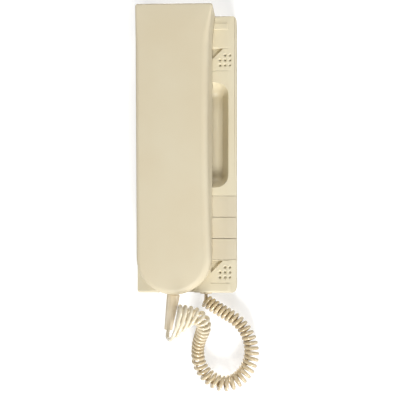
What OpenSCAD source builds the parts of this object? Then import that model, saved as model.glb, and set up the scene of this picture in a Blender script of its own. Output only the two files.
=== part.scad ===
// Wall door-phone: a flat handset in the cradle of a slim base, with a curly cord between them.
// Millimetres, +Z up. The wall is the plane Y = 0, the front faces -Y, and the origin is
// midway between the two wall screws. A depth is a distance in front of the wall.

/* [Base] */
// Width of the base
base_w = 79; // [77:0.5:84]
// Height of the base
base_h = 222; // [219:1:234]
// Depth of the strip's face
strip_d = 28; // [27:0.5:31]
// Depth of the cradle's floor
cradle_d = 19; // [18.5:0.25:20]
// Thickness of the cover's walls
wall = 2.2; // [1.8:0.1:2.4]
// Corner radius on the strip's side
strip_corner = 4; // [2:0.5:6]
// Corner radius on the handset's side
cradle_corner = 2; // [1:0.5:3]
// Radius of the strip's crowned outer side
crown_r = 20; // [16:1:30]
// Width of the strip's crowned outer side
crown_w = 8.5; // [5:0.5:10]
// Edge radius at the top and bottom of the strip
end_r = 2; // [1:0.5:3]
// Thickness of the wall plate
plate_t = 2.2; // [1.8:0.1:2.6]
// Gap round the wall plate
plate_gap = 0.3; // [0.2:0.1:0.6]
// Gap between the cover's rear edge and the wall
skirt_gap = 0.6; // [0.3:0.1:1]

/* [Handset] */
// Width of the strip beside the handset
strip_w = 19.4; // [18:0.1:21]
// Gap between the handset's inner shell and the strip
handset_gap = 0.6; // [0.4:0.1:1]
// How far the base stands out past the handset on its free side
side_rim = 2.6; // [1:0.2:4]
// Gap between the handset's back and the cradle
seat_gap = 0.4; // [0.3:0.1:0.6]
// Depth of the handset's face at its top
face_top_d = 61; // [57:0.5:65]
// Depth of the handset's face at its foot
face_low_d = 50; // [48:0.5:54]
// Depth of the seam between the two shells
seam_d = 34; // [33.5:0.5:36]
// Thickness of the shells
shell = 2.2; // [1.8:0.1:2.6]
// How far the head flares towards the strip
flare = 2.4; // [0:0.2:4]
// Length of the flare
flare_len = 30; // [20:1:40]
// How far the grip is drawn in at the front
waist = 2.3; // [0:0.1:3]
// Length of the drawn-in grip
waist_len = 200; // [140:5:220]
// Edge radius round the face
face_r = 6; // [3:0.5:7]
// Edge radius along the head's top
head_r = 1.5; // [1:0.1:2]
// How far the inner shell stands back at the seam
seam_step = 1; // [0.7:0.1:1.2]
// Radius of the ear rest
ear_r = 22; // [20:0.5:23]
// Radius of the mouth rest
mouth_r = 17; // [14:0.5:18]
// Height of the two rests
rest_h = 7; // [6:0.25:7.5]
// From the handset's top to the middle of the ear rest
ear_drop = 33; // [31:0.5:34.5]
// Clearance of the rests in their wells
well_gap = 0.8; // [0.5:0.1:1]

/* [Finger scoop] */
// From the base's top to the scoop
scoop_drop = 54; // [52:1:56]
// From the keys to the scoop
scoop_gap = 6.7; // [4:0.1:20]
// Corner radius of the scoop's rim
scoop_r = 10; // [8:0.5:11]
// Depth of the scoop below the strip
scoop_depth = 16; // [14:0.5:17]
// Slope of the scoop's walls in degrees
scoop_draft = 20; // [12:1:22]
// From the base's outer side to the scoop's rim
scoop_margin = 6.5; // [5:0.5:8]
// How far the scoop runs on behind the handset
scoop_under = 8; // [4:0.5:10]

/* [Grilles] */
// Height of a grille
grille_h = 18.7; // [18:0.1:20]
// From the base's top to the upper grille
upper_drop = 26; // [25:0.5:28]
// From the base's foot to the lower grille
lower_rise = 7.6; // [6:0.2:9]
// Radius of a grille's holes at the bottom of their dimples
hole_r = 0.5; // [0.4:0.1:0.7]
// Radius of a dimple at the strip's face
dimple_r = 1.5; // [1.2:0.1:1.7]
// Depth of a dimple
dimple_d = 1.1; // [0.8:0.1:1.4]
// Pitch of a grille's holes
hole_pitch = 4; // [3.6:0.1:4.2]
// From the base's outer side to the last holes
hole_margin = 5.2; // [4.5:0.1:6]
// From a grille's top line to its first holes
hole_drop = 6; // [5.5:0.1:6.5]
// Width and height of the three-cornered notch
notch_w = 8.6; // [7:0.2:9]
// Depth of the three-cornered notch
notch_d = 3; // [2:0.2:3.6]
// Width of the fine lines
line_w = 0.6; // [0.4:0.1:0.8]
// Depth of the fine lines
line_d = 0.4; // [0.2:0.1:0.6]
// From the base's top to the raised bar
bar_drop = 6.4; // [5:0.1:7]
// Height of the raised bar
bar_h = 4.8; // [4:0.1:6]
// Width of the raised bar
bar_w = 12.6; // [9:0.2:14]
// How far the bar stands proud
bar_proud = 0.6; // [0.3:0.1:1]

/* [Keys] */
// Pitch of the keys
key_pitch = 17; // [15:0.25:17.5]
// Gap between keys
key_gap = 0.4; // [0.3:0.1:0.6]
// Thickness of a key
key_t = 4.6; // [3.6:0.1:4.8]
// Travel of a key
key_travel = 1.2; // [0.8:0.1:1.6]
// Room left below a pressed key
key_room = 0.4; // [0.3:0.1:0.8]
// Radius of a key's stem
stem_r = 2.5; // [2:0.1:3]
// Running clearance of stems and pins
run_gap = 0.05; // [0.03:0.01:0.09]
// Height of a return dome
dome_h = 2.4; // [2:0.1:3]
// Radius of a return dome
dome_r = 5; // [4:0.25:6]

/* [Hook] */
// Distance of the hook from the base's centre line
hook_x = 14; // [12:0.5:16]
// From the ear well's lining to the hook's pivot
hook_drop = 9; // [8:0.5:11]
// Depth of the hook's pivot
hook_d = 11; // [10.5:0.25:11.5]
// Width of the hook
hook_w = 6; // [5:0.25:7]
// Thickness of the hook's arm
arm_t = 3; // [2.5:0.1:3.5]
// From the pivot to the end of the arm
arm_len = 16; // [14:0.5:18]
// From the pivot to the end of the tail
tail_len = 6; // [5:0.25:7]
// Height of the nose along the arm
nose_h = 5; // [4:0.25:6]
// Swing of the hook in degrees
hook_swing = 20; // [12:1:22]
// Radius of the hook's pin
pin_r = 1.2; // [1:0.1:1.5]

/* [Inside] */
// Depth of the board's rear face
board_d = 6; // [5:0.25:6.2]
// Thickness of the board
board_t = 1.6; // [1:0.2:1.8]
// Width of the board
board_w = 29; // [27:0.5:30]
// Height of the board
board_h = 68; // [66:1:70]
// Shank radius of the screws
screw_r = 1.4; // [1.2:0.1:1.6]
// Head radius of the screws
head_r_screw = 2.8; // [2.4:0.1:3]
// Head height of the screws
head_h = 1.8; // [1.4:0.1:2]
// Radius of the call sounder
sounder_r = 9; // [7:0.25:9.5]
// Height of the call sounder
sounder_h = 6; // [5:0.5:7]
// Radius of the ear capsule
capsule_r = 17; // [14:0.5:17.5]
// Height of the ear capsule
capsule_h = 10; // [8:0.5:12]
// Radius of the microphone
mic_r = 5; // [4:0.25:6]
// Height of the microphone
mic_h = 7; // [5:0.5:8]
// Number of wire terminals
terminals = 5; // [3:1:6]
// Pitch of the wire terminals
terminal_pitch = 5; // [5:0.1:5.2]

/* [Wall fixing] */
// Distance between the two wall screws
fix_spacing = 83.5; // [80:0.5:86]
// Radius of the wall screws' holes
fix_r = 2.25; // [2:0.05:2.6]
// Radius of the cable entry
cable_r = 11; // [8:0.5:11]

/* [Cord] */
// Thickness of the cord
strand_d = 2.9; // [2.5:0.1:3]
// Outer diameter of the curls
coil_d = 11.8; // [11:0.1:12]
// Number of whole curls
curls = 47; // [20:1:47]
// Length of the boot
boot_len = 29; // [24:0.5:29]
// Radius of the boot at the handset
boot_r = 5; // [4.5:0.1:5.5]
// Radius of the boot at its tip
boot_tip_r = 3.1; // [2.6:0.1:3.4]

/* [Hidden] */
$fn = 64;

// Cut allowance, so that cuts run past the faces they open
past = 1;
// Colours of the finishes
ivory = [0.87, 0.82, 0.70];
ivory_strip = [0.88, 0.84, 0.73];
grey_rubber = [0.35, 0.35, 0.36];
steel = [0.72, 0.73, 0.75];
board_green = [0.10, 0.36, 0.20];
black_plastic = [0.12, 0.12, 0.13];

// Edges of the base and of the handset's seat
base_x = base_w / 2;
base_z = base_h / 2;
strip_x = base_x - strip_w;
hand_x0 = side_rim - base_x;
hand_x1 = strip_x - handset_gap + seam_step;
hand_r = (hand_x1 - hand_x0) / 2;
hand_cx = (hand_x1 + hand_x0) / 2;
round_z = hand_r - base_z;
back_d = cradle_d + seat_gap;
ear_z = base_z - ear_drop;
mouth_z = round_z;
rests = [[ear_z, ear_r], [mouth_z, mouth_r]];
rest_face_d = back_d - rest_h;
well_d = rest_face_d - well_gap;
// The strip's corner arcs stand this far out, so that they cross the side instead of only touching it
corner_ease = 0.03;
// Corner radius of the handset's head, a little over its edge radius
head_corner = head_r + 0.5;
// Half width of the opening that lets the handset's round end and boot out of the cradle's foot
foot_half = 14;

// Cover screws, sunk in the floors of the wells
sink_h = head_h + 0.5;
screw_seat_d = well_d - sink_h;
cover_boss_d = screw_seat_d - wall;
screw_gap = 0.3;
pilot_r = screw_r + run_gap;
boss_wall = 2;

// Grilles, by the height of their top lines
grille_tops = [base_z - upper_drop, -base_z + lower_rise + grille_h];
line_x1 = base_x - hole_margin + dimple_r + 0.2;

// Keys, from the lower grille upwards
key_count = 3;
key_h = key_pitch - key_gap;
keys_z0 = grille_tops[1];
keys_z1 = keys_z0 + key_count * key_pitch;
key_under_d = strip_d - key_t;
bay_d = key_under_d - key_travel - key_room;
key_x = (strip_x + base_x) / 2;
stem_tip_d = board_d + board_t + dome_h + 0.2;
barb_r = stem_r + 0.8;
barb_h = 1.6;
barb_gap = 0.2;

// Finger scoop, between the top of the keys and the ear's end
scoop_x = base_x - scoop_margin - scoop_r;
scoop_z1 = base_z - scoop_drop;
scoop_z0 = keys_z1 + scoop_gap;
scoop_floor_d = strip_d - scoop_depth;
scoop_slope = tan(scoop_draft);
scoop_floor_r = scoop_r - scoop_depth * scoop_slope;
// Middle of the drawn-in grip, level with the scoop's middle
waist_z = (scoop_z0 + scoop_z1) / 2;

// Hook
hook_cx = -hook_x;
hook_z = ear_z - ear_r - well_gap - wall - hook_drop;
hub_r = arm_t;
nose_tip_d = cradle_d + 0.1;
ear_t = 2;
ear_gap = 0.5;
slot_gap = 0.6;
nose_rise = arm_len * sin(hook_swing) / 2;

// Board, along the inner side of the strip
board_rise = 9.8;
board_side = 1.3;
board_x1 = base_x - wall - board_side;
board_x0 = board_x1 - board_w;
board_z0 = -base_z + wall + board_rise;
board_z1 = board_z0 + board_h;
board_face_d = board_d + board_t;
board_hole = 3;
board_fixings = [for (x = [board_x0 + board_hole, board_x1 - board_hole])
    for (z = [board_z0 + board_hole, board_z1 - board_hole]) [x, z]];

// Sounder, beside the ear well
sounder_x = base_x - wall - sounder_r - 1.8;
sounder_z = grille_tops[0] - hole_drop - hole_pitch;
socket_h = 4;

// Cable entry and terminals, left of the centre line
cable_x = -base_x + wall + cable_r + 5.3;
cable_z = 2;
terminal_w = terminals * terminal_pitch + 1;
terminal_depth = 11;
terminal_h = 12;
terminal_x = -base_x + wall + 4 + terminal_w / 2;
terminal_z = cable_z - cable_r - 5 - terminal_h / 2;

// Cord: the boot's lean and the hand-chosen route
boot_lean = 8.5;
boot_x = -9.9;
boot_d = seam_d;
boot_shoulder = 0.8;
boot_root = [boot_x, -boot_d, round_z - sqrt(pow(hand_r, 2) - pow(boot_x - hand_cx, 2))];
gland_x = 14;
gland_d = 9.3;
gland_r = 4;
gland_lip = 2;
// Where the strand turns from the boot's tip to the first curl
cord_hook = [[-14.3, -36.4, -145.2], [-12.4, -41, -146.4]];
// Middle line of the curls, from the handset's end to the base's end: each place, the share of coil_d to which
// the curls open there, and how far their lower ends hang down there
coil_route = [
    [-5.2, -50.5, -124.6, 1.15, 16], [-2, -49.2, -124.8, 1.15, 13], [1.4, -47.8, -125.2, 1.1, 9],
    [4.8, -46.2, -126, 1.1, 5], [8, -44.4, -127.2, 1.1, 2], [10.9, -42, -129.2, 1.05, 0],
    [13.2, -38.8, -132.2, 1.05, 0], [13.9, -34.9, -136.4, 1, 0], [12.8, -30.9, -141.1, 1, 0],
    [10.9, -27.2, -145.8, 0.95, 0], [9.3, -23.6, -150.7, 0.92, 0], [8.3, -20.2, -155.8, 0.9, 0],
    [8, -17, -161.4, 0.92, 0], [8.6, -14.8, -167.6, 0.97, 0], [11.2, -14, -173.8, 1, 0],
    [15.6, -14, -179.3, 1.05, 0], [21.4, -14, -183.5, 1.1, 0], [28, -14, -185.5, 1.1, 0],
    [35.4, -14, -184.5, 1.1, 0], [42.3, -14, -180.2, 1.1, 0], [47.8, -14, -173.5, 1.1, 0],
    [50.9, -14, -165.5, 1.1, 0], [51.2, -14, -157, 1.05, 0], [49.3, -14, -148.5, 1, 0],
    [45, -14, -140.5, 0.95, 0], [38.8, -14, -134, 0.95, 0], [31, -14, -129, 0.95, 0],
    [22.5, -13.7, -124, 0.95, 0], [13.5, -13, -118.5, 0.95, 0]
];
// Direction in which the lower ends of the first curls hang
hang_way = [-0.3, 0, -0.95];
// Phase of the curls where they begin and end, in degrees
phase_start = -170;
phase_end = -90;
rings_per_curl = 8;
strand_sides = 6;

// Extrudes a shape drawn in X and Z from one depth to another
module slab(d0, d1) {
    translate([0, -d0, 0]) rotate([90, 0, 0]) linear_extrude(d1 - d0) children();
}

// Round bar from one depth to another
module post(x, z, d0, d1, r) {
    translate([x, -d0, z]) rotate([90, 0, 0]) cylinder(h = d1 - d0, r = r);
}

// Extrudes a shape drawn in X and depth from one height to another
module upright(z0, z1) {
    translate([0, 0, z0]) linear_extrude(z1 - z0) mirror([0, 1]) children();
}

// Rectangle between two corners
module box2(x0, x1, z0, z1) {
    translate([x0, z0]) square([x1 - x0, z1 - z0]);
}

// Block between two corners, with its depth given as distances in front of the wall
module block(x0, x1, d0, d1, z0, z1) {
    slab(d0, d1) box2(x0, x1, z0, z1);
}

// Rectangle with one corner radius on the left and one on the right
module rounded(x0, x1, z0, z1, left_r, right_r) {
    box2(x0 + left_r, x1 - right_r, z0, z1);
    box2(x0, x0 + left_r + past, z0 + left_r, z1 - left_r);
    box2(x1 - right_r - past, x1, z0 + right_r, z1 - right_r);
    for (z = [z0 + left_r, z1 - left_r]) translate([x0 + left_r, z]) circle(left_r);
    for (z = [z0 + right_r, z1 - right_r]) translate([x1 - right_r, z]) circle(right_r);
}

// Handset outline
// A station is a point of the outline: [centre x, centre z, radius, angle of the normal, edge radius].
function flare_at(z) = flare * pow(max(0, (z - base_z + flare_len) / flare_len), 2);
function edge_r_at(z) = head_r + (face_r - head_r) * min(1, max(0, (base_z - z) / flare_len));
function stations(corner) = concat(
    [for (i = [0:3]) let (z = round_z + (base_z - flare_len - round_z) * i / 4)
        [hand_x1, z, 0, 0, edge_r_at(z)]],
    [for (i = [0:6]) let (z = base_z - flare_len + (flare_len - corner) * i / 6)
        [hand_x1 + flare_at(z), z, 0, 0, edge_r_at(z)]],
    [for (a = [30:30:90])
        [hand_x1 + flare_at(base_z - corner) - corner, base_z - corner, corner, a, head_r]],
    [for (a = [90:30:180]) [hand_x0 + corner, base_z - corner, corner, a, head_r]],
    [for (i = [1:5]) let (z = base_z - corner - (base_z - corner - round_z) * i / 6)
        [hand_x0, z, 0, 180, edge_r_at(z)]],
    [for (a = [180:7.5:352.5]) [hand_cx, round_z, hand_r, a, face_r]]
);
function station_at(s, grow) = [s[0] + (s[2] + grow) * cos(s[3]), s[1] + (s[2] + grow) * sin(s[3])];
function outline(grow, corner) = [for (s = stations(corner)) station_at(s, grow)];

// Depth of the handset's face at a height
function face_d(z) = face_low_d + (face_top_d - face_low_d) * (z + base_z) / base_h;
// How far the grip is drawn in at the front, on the strip's side only
function waist_at(s) =
    s[3] > 0 ? 0 : waist * max(0, 1 - pow((s[1] - waist_z) / (waist_len / 2), 2));
function rim_point(s, inset, drop) = let (p = station_at(s, -inset)) [p[0], -(face_d(p[1]) - drop), p[1]];

// Solid under the handset's face: straight sides from depth d0, then the rounded edge and the face.
// The whole is inset by grow and its face lies skin behind the outer face.
module face_loft(d0, corner, inset, skin, edge_scale) {
    ring_stations = stations(corner);
    count = len(ring_stations);
    steps = [0:18:90];
    base_ring = [for (s = ring_stations) let (p = station_at(s, -inset)) [p[0], -d0, p[1]]];
    edge_rings = [for (a = steps) [for (s = ring_stations) let (r = s[4] * edge_scale)
        rim_point(s, inset + waist_at(s) + r * (1 - cos(a)), skin + r * (1 - sin(a)))]];
    rings = concat([base_ring], edge_rings);
    last = len(rings) - 1;
    points = [for (ring = rings) for (p = ring) p];
    hubs = [[hand_cx, -d0, 0], [hand_cx, skin - face_d(0), 0]];
    sides = [for (k = [0:last - 1]) for (i = [0:count - 1])
        let (j = (i + 1) % count, a = k * count, b = a + count)
            each [[a + i, b + i, b + j], [a + i, b + j, a + j]]];
    base_cap = [for (i = [0:count - 1]) [i, (i + 1) % count, (last + 1) * count]];
    face_cap = [for (i = [0:count - 1])
        [last * count + (i + 1) % count, last * count + i, (last + 1) * count + 1]];
    polyhedron(concat(points, hubs), concat(sides, base_cap, face_cap));
}

// Base
// Section of the base in X and depth: flat to the crown, then an arc to the outer side
module base_section() {
    crown_x = base_x - crown_w;
    translate([-base_x, skirt_gap]) square([base_w - crown_w, strip_d - skirt_gap]);
    intersection() {
        translate([crown_x - past, skirt_gap]) square([crown_w + past, strip_d]);
        translate([crown_x, strip_d - crown_r]) circle(crown_r, $fn = 128);
    }
}

// Outer form of the closed base
module base_form() {
    intersection() {
        upright(-base_z, base_z) base_section();
        slab(0, strip_d + past)
            rounded(-base_x, base_x + corner_ease, -base_z, base_z, cradle_corner, strip_corner);
        rotate([90, 0, 90]) translate([0, 0, -base_x]) linear_extrude(base_w) mirror([1, 0])
            rounded(-strip_d, strip_d, -base_z, base_z, end_r, end_r);
    }
}

// Inner outline of the cover, drawn in by some distance
module cover_inside(inset) {
    rounded(-base_x + inset, base_x - inset, -base_z + inset, base_z - inset,
        cradle_corner, strip_corner - wall / 2);
}

// Seat of the handset, seen from the front, and the opening at its foot
module seat_outline(grow) {
    polygon(outline(handset_gap - seam_step + grow, head_corner));
    box2(hand_cx - foot_half - grow, hand_cx + foot_half + grow, -base_z - past, round_z);
    box2(-base_x - past, hand_x0 + past, round_z, base_z + past);
    box2(-base_x - past, hand_x1, base_z - past, base_z + past);
}

// Rounded trough of the scoop, grown outwards for its lining
module scoop_form(grow) {
    rise = scoop_depth + past;
    hull() for (x = [scoop_x - scoop_under, scoop_x], z = [scoop_z0 + scoop_r, scoop_z1 - scoop_r])
        translate([x, -scoop_floor_d + grow, z]) rotate([90, 0, 0])
            cylinder(h = rise + grow, r1 = scoop_floor_r + grow,
                r2 = scoop_r + past * scoop_slope + grow, $fn = 48);
}

// Three-cornered notch below a grille's top line
module notch(top, grow) {
    x0 = strip_x - past;
    z1 = top - line_w + grow;
    reach = notch_w + past + grow * 3;
    polygon([[x0, z1], [x0 + reach, z1], [x0, z1 - reach]]);
}

// Holes of one grille, each in a dimple: three columns and rows without the corner that the notch takes
dimple_slope = (dimple_r - hole_r) / dimple_d;
module grille_holes(top) {
    for (column = [0:2], row = [0:2]) if (column + row > 0)
        translate([base_x - hole_margin - (2 - column) * hole_pitch, 0, top - hole_drop - row * hole_pitch]) {
            post(0, 0, strip_d - wall * 2 - crown_w / 2, strip_d, hole_r);
            translate([0, dimple_d - strip_d, 0]) rotate([90, 0, 0])
                cylinder(h = dimple_d + past, r1 = hole_r, r2 = dimple_r + past * dimple_slope);
        }
}

// Fine line across the strip's face at a height
module fine_line(z, x1) {
    block(strip_x - past, x1, strip_d - line_d, strip_d + past, z - line_w / 2, z + line_w / 2);
}

function key_z(i) = keys_z0 + key_pitch * (i + 0.5);

module front_cover() {
    color(ivory_strip) difference() {
        union() {
            difference() {
                base_form();
                slab(-past, cradle_d - wall) cover_inside(wall);
                slab(-past, strip_d - wall) difference() {
                    cover_inside(wall);
                    seat_outline(wall);
                }
            }
            intersection() {
                base_form();
                union() {
                    scoop_form(wall);
                    for (rest = rests)
                        post(hand_cx, rest[0], well_d - wall, cradle_d, rest[1] + well_gap + wall);
                    for (top = grille_tops) slab(strip_d - notch_d - wall, strip_d) notch(top, wall);
                    block(strip_x - past, base_x, bay_d - wall, strip_d, keys_z0 - wall, keys_z1 + wall);
                }
            }
            for (rest = rests)
                post(hand_cx, rest[0], cover_boss_d, well_d, head_r_screw + screw_gap + boss_wall);
            block(strip_x, strip_x + bar_w, strip_d - wall, strip_d + bar_proud,
                base_z - bar_drop - bar_h, base_z - bar_drop);
        }
        slab(cradle_d, strip_d + 2 * past) seat_outline(0);
        for (rest = rests) {
            post(hand_cx, rest[0], well_d, cradle_d + past, rest[1] + well_gap);
            post(hand_cx, rest[0], screw_seat_d, well_d + past, head_r_screw + screw_gap);
            post(hand_cx, rest[0], cover_boss_d - past, well_d, screw_r + screw_gap);
        }
        scoop_form(0);
        block(strip_x - past, base_x + past, bay_d, strip_d + past, keys_z0, keys_z1);
        for (i = [0:key_count - 1])
            post(key_x, key_z(i), bay_d - wall - past, bay_d + past, stem_r + run_gap);
        for (top = grille_tops) {
            slab(strip_d - notch_d, strip_d + past) notch(top, 0);
            grille_holes(top);
            fine_line(top - line_w / 2, line_x1);
            fine_line(top - grille_h + line_w / 2, line_x1);
        }
        block(hook_cx - hook_w / 2 - slot_gap, hook_cx + hook_w / 2 + slot_gap,
            cradle_d - wall - past, cradle_d + past,
            hook_z - arm_len - slot_gap, hook_z - arm_len + nose_h + nose_rise + 2 * slot_gap);
        translate([gland_x, -gland_d, -base_z - past]) cylinder(h = wall + 2 * past, r = gland_r + run_gap);
    }
}

module wall_plate() {
    color(ivory) difference() {
        union() {
            slab(0, plate_t) cover_inside(wall + plate_gap);
            for (rest = rests) post(hand_cx, rest[0], 0, cover_boss_d, pilot_r + boss_wall);
            for (p = board_fixings) post(p[0], p[1], 0, board_d, pilot_r + boss_wall - 0.6);
            post(sounder_x, sounder_z, 0, plate_t + socket_h, sounder_r + run_gap + 1.4);
            for (side = [-1, 1]) hook_ear(side);
        }
        for (rest = rests) post(hand_cx, rest[0], plate_t, cover_boss_d + past, pilot_r);
        for (p = board_fixings) post(p[0], p[1], plate_t, board_d + past, pilot_r);
        post(sounder_x, sounder_z, plate_t, plate_t + socket_h + past, sounder_r + run_gap);
        translate([hook_cx - hook_w - 2 * ear_t, -hook_d, hook_z]) rotate([0, 90, 0])
            cylinder(h = 2 * hook_w + 4 * ear_t, r = pin_r + run_gap);
        for (side = [-1, 1]) post(0, side * fix_spacing / 2, -past, plate_t + past, fix_r);
        post(cable_x, cable_z, -past, plate_t + past, cable_r);
    }
}

// One of the two ears that carry the hook's pin
module hook_ear(side) {
    ear_x = hook_cx + side * (hook_w / 2 + ear_gap + ear_t / 2);
    block(ear_x - ear_t / 2, ear_x + ear_t / 2, 0, hook_d, hook_z - hub_r, hook_z + hub_r);
    translate([ear_x - ear_t / 2, -hook_d, hook_z]) rotate([0, 90, 0]) cylinder(h = ear_t, r = hub_r);
}

// Screw driven towards the wall, with its head's bearing face at seat_d
module screw_in(x, z, seat_d, tip_d) {
    difference() {
        union() {
            post(x, z, tip_d, seat_d + head_h / 2, screw_r);
            post(x, z, seat_d, seat_d + head_h, head_r_screw);
        }
        for (turn = [0, 90]) translate([x, -seat_d - head_h, z]) rotate([0, turn, 0])
            cube([head_r_screw * 1.3, head_h, 0.7], center = true);
    }
}

module cover_screws() {
    color(steel) for (rest = rests) screw_in(hand_cx, rest[0], screw_seat_d, plate_t + 0.8);
}

// Keys
module key(i) {
    color(ivory_strip) union() {
        intersection() {
            base_form();
            block(strip_x, base_x, key_under_d, strip_d, key_z(i) - key_h / 2, key_z(i) + key_h / 2);
        }
        post(key_x, key_z(i), stem_tip_d, key_under_d + past, stem_r);
        translate([key_x, -(bay_d - wall - barb_gap), key_z(i)]) rotate([-90, 0, 0])
            cylinder(h = barb_h, r1 = barb_r, r2 = stem_r);
    }
}

module key_lower() { key(0); }
module key_middle() { key(1); }
module key_upper() { key(2); }

// Hollow silicone dome under a key's stem
module key_dome(i) {
    color(grey_rubber) translate([key_x, -board_face_d, key_z(i)]) rotate([90, 0, 0]) difference() {
        cylinder(h = dome_h, r1 = dome_r, r2 = stem_r + 0.5);
        translate([0, 0, -past]) cylinder(h = dome_h - 0.8 + past, r = stem_r - 0.5);
    }
}

module key_dome_lower() { key_dome(0); }
module key_dome_middle() { key_dome(1); }
module key_dome_upper() { key_dome(2); }

// Board and what is on it
module circuit_board() {
    color(board_green) difference() {
        block(board_x0, board_x1, board_d, board_face_d, board_z0, board_z1);
        for (p = board_fixings) post(p[0], p[1], board_d - past, board_face_d + past, screw_r + screw_gap);
    }
}

module board_screws() {
    color(steel) for (p = board_fixings) screw_in(p[0], p[1], board_face_d, plate_t + 0.6);
}

capacitor_r = 2.5;
capacitor_h = 7;
module board_capacitors() {
    color(black_plastic) for (i = [0, 1])
        post(board_x0 + 12, keys_z0 + 26 + i * 9, board_face_d, board_face_d + capacitor_h, capacitor_r);
}

chip_w = 7;
chip_h = 10;
chip_t = 3;
module speech_chip() {
    color(black_plastic) block(board_x0 + 8, board_x0 + 8 + chip_w, board_face_d, board_face_d + chip_t,
        keys_z0 + 8, keys_z0 + 8 + chip_h);
}

socket_w = 10;
socket_t = 7;
socket_len = 10;
socket_wall = 1.5;
socket_x = board_x0 + 8;
socket_z = board_z0 + 1;
module cord_socket() {
    color(black_plastic) difference() {
        block(socket_x, socket_x + socket_w, board_face_d, board_face_d + socket_t,
            socket_z, socket_z + socket_len);
        block(socket_x + socket_wall, socket_x + socket_w - socket_wall,
            board_face_d + socket_wall, board_face_d + socket_t - socket_wall,
            socket_z - past, socket_z + socket_len * 0.6);
    }
}

function terminal_cx(i) = terminal_x + (i - (terminals - 1) / 2) * terminal_pitch;
terminal_screw_r = 1.8;
terminal_sink = 3;
terminal_head_d = plate_t + terminal_depth - 1.6;
terminal_seat_d = terminal_head_d - terminal_sink;
module terminal_block() {
    top_d = plate_t + terminal_depth;
    color(black_plastic) difference() {
        block(terminal_x - terminal_w / 2, terminal_x + terminal_w / 2, plate_t, top_d,
            terminal_z - terminal_h / 2, terminal_z + terminal_h / 2);
        for (i = [0:terminals - 1]) {
            post(terminal_cx(i), terminal_z, terminal_seat_d, top_d + past, terminal_screw_r + 0.2);
            translate([terminal_cx(i), -plate_t - 3, terminal_z]) cylinder(h = terminal_h, r = 1.5);
        }
    }
}

module terminal_screws() {
    color(steel) for (i = [0:terminals - 1]) difference() {
        post(terminal_cx(i), terminal_z, terminal_seat_d, terminal_head_d, terminal_screw_r);
        translate([terminal_cx(i), -terminal_head_d, terminal_z])
            cube([terminal_screw_r * 3, 1.2, 0.7], center = true);
    }
}

sounder_port_r = 1.5;
module call_sounder() {
    color(black_plastic) difference() {
        post(sounder_x, sounder_z, plate_t, plate_t + sounder_h, sounder_r);
        post(sounder_x, sounder_z, plate_t + sounder_h - 1.5, plate_t + sounder_h + past, sounder_port_r);
    }
}

// Hook
module hook_lever() {
    inner_d = hook_d - arm_t / 2;
    outer_d = hook_d + arm_t / 2;
    x0 = hook_cx - hook_w / 2;
    x1 = hook_cx + hook_w / 2;
    nose_z0 = hook_z - arm_len;
    color(ivory) difference() {
        union() {
            block(x0, x1, inner_d, outer_d, nose_z0, hook_z + tail_len);
            block(x0, x1, inner_d, nose_tip_d - nose_h / 2, nose_z0, nose_z0 + nose_h);
            translate([x0, -nose_tip_d + nose_h / 2, nose_z0 + nose_h / 2]) rotate([0, 90, 0])
                cylinder(h = hook_w, r = nose_h / 2);
            translate([x0, -hook_d, hook_z]) rotate([0, 90, 0]) cylinder(h = hook_w, r = hub_r);
        }
        translate([x0 - past, -hook_d, hook_z]) rotate([0, 90, 0])
            cylinder(h = hook_w + 2 * past, r = pin_r + run_gap);
    }
}

module hook_pin() {
    half = hook_w / 2 + ear_gap + ear_t + 1;
    color(steel) translate([hook_cx - half, -hook_d, hook_z]) rotate([0, 90, 0])
        cylinder(h = 2 * half, r = pin_r);
}

// Switch that the hook's tail closes when the hook swings out
switch_w = 9;
switch_h = 6;
module hook_switch() {
    reach = tail_len - 1;
    button_d = hook_d - arm_t / 2 * cos(hook_swing) - tail_len * sin(hook_swing) - 0.2;
    body_d = button_d - 1;
    z = hook_z + reach;
    color(black_plastic) {
        block(hook_cx - switch_w / 2, hook_cx + switch_w / 2, plate_t, body_d,
            z - switch_h / 2 + 1, z + switch_h / 2 + 1);
        block(hook_cx - 1, hook_cx + 1, body_d, button_d, z - 1, z + 1);
    }
}

// Tubes
// Tube of a strand along a list of points, as triangles, with its frame carried along without twist.
function unit(v) = v / norm(v);
function heading(path, i) = unit(path[min(i + 1, len(path) - 1)] - path[max(i - 1, 0)]);
function across(t, v) = unit(v - (v * t) * t);
function side_frames(path, first) = [
    for (i = 0, v = across(heading(path, 0), first); i < len(path);
        i = i + 1, v = i < len(path) ? across(heading(path, i), v) : v) v
];
module tube(path, d, sides, first) {
    frames = side_frames(path, first);
    points = [for (i = [0:len(path) - 1]) let (t = heading(path, i), u = frames[i], w = cross(t, u))
        for (k = [0:sides - 1]) path[i] + d / 2 * (cos(360 * k / sides) * u + sin(360 * k / sides) * w)];
    last = len(path) - 1;
    walls = [for (i = [0:last - 1]) for (k = [0:sides - 1])
        let (a = i * sides + k, b = i * sides + (k + 1) % sides, c = a + sides, e = b + sides)
            each [[a, c, e], [a, e, b]]];
    end = last * sides;
    ends = [for (k = [1:sides - 2]) each [[0, k, k + 1], [end, end + k + 1, end + k]]];
    polyhedron(points, concat(walls, ends));
}

// Coil spring between the plate and the hook's arm
spring_wire = 0.6;
spring_r = 2;
spring_curls = 5;
spring_z = hook_z - arm_len / 2;
spring_d0 = plate_t + spring_wire;
spring_d1 = hook_d - arm_t / 2 - spring_wire;
spring_steps = spring_curls * rings_per_curl;
function spring_point(i) = let (a = 360 * i / rings_per_curl) [
    hook_cx + spring_r * cos(a),
    -(spring_d0 + (spring_d1 - spring_d0) * i / spring_steps),
    spring_z + spring_r * sin(a)
];
module hook_spring() {
    color(steel) tube([for (i = [0:spring_steps]) spring_point(i)], spring_wire, strand_sides, [1, 0, 0]);
}

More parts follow.
